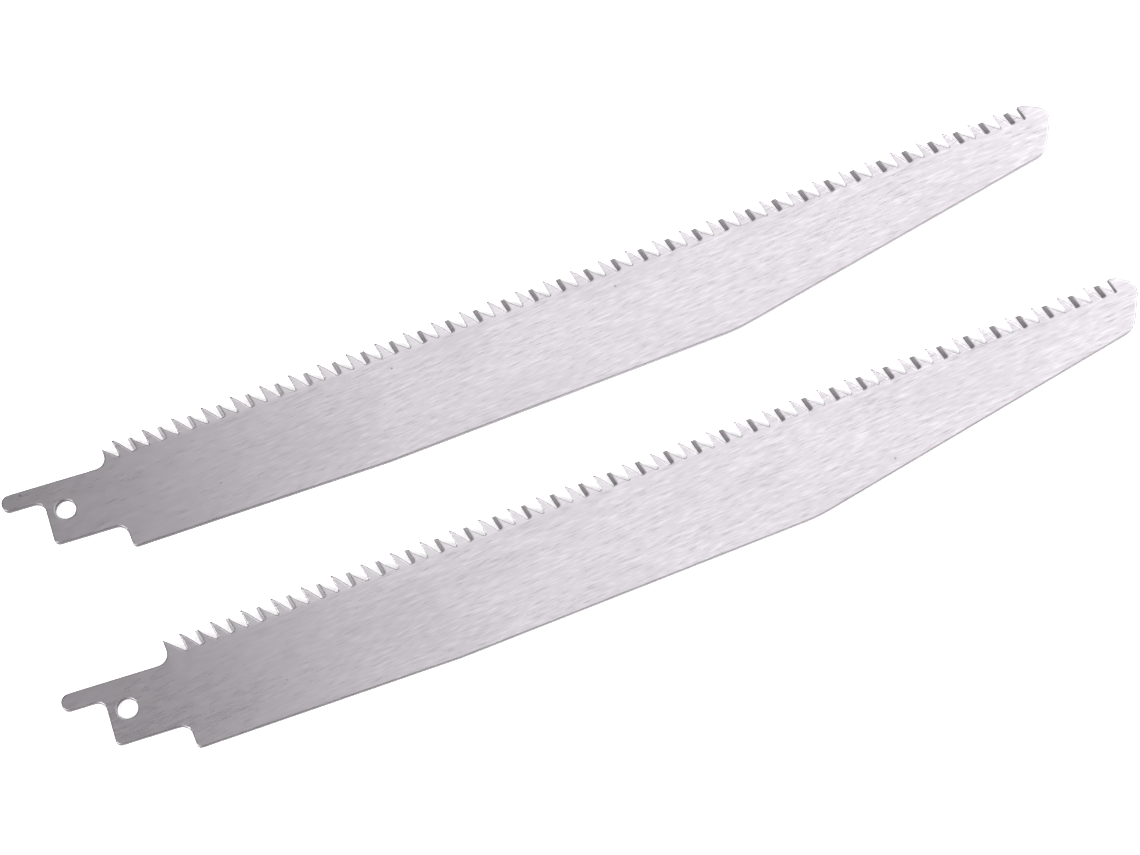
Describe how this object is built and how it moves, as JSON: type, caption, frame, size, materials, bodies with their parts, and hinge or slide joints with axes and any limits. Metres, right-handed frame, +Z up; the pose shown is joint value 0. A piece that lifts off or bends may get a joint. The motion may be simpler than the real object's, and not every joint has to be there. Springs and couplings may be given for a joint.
{
  "type": "pair of reciprocating saw blades",
  "caption": "Two flat steel reciprocating saw blades lying side by side, each with a notched shank, a pin hole, alternately set teeth and a raked nose.",
  "frame": {"origin": "centre of the pair's bounding box, on the plane the blades lie on", "axes": "+X from the shanks to the noses, +Y from back edge to teeth, +Z up from the plane the blades lie on"},
  "size_m": [0.238, 0.0684, 0.0019],
  "materials": {
    "blade_steel": "brushed along the blade"
  },
  "bodies": {
    "blade_a": {"blade_a": "blade_steel"},
    "blade_b": {"blade_b": "blade_steel"}
  },
  "joints": [
    {"name": "lift_blade_b", "type": "slide", "parent": "blade_a", "child": "blade_b", "axis": [0, 0, 1], "range_m": [0, 0.1]}
  ]
}
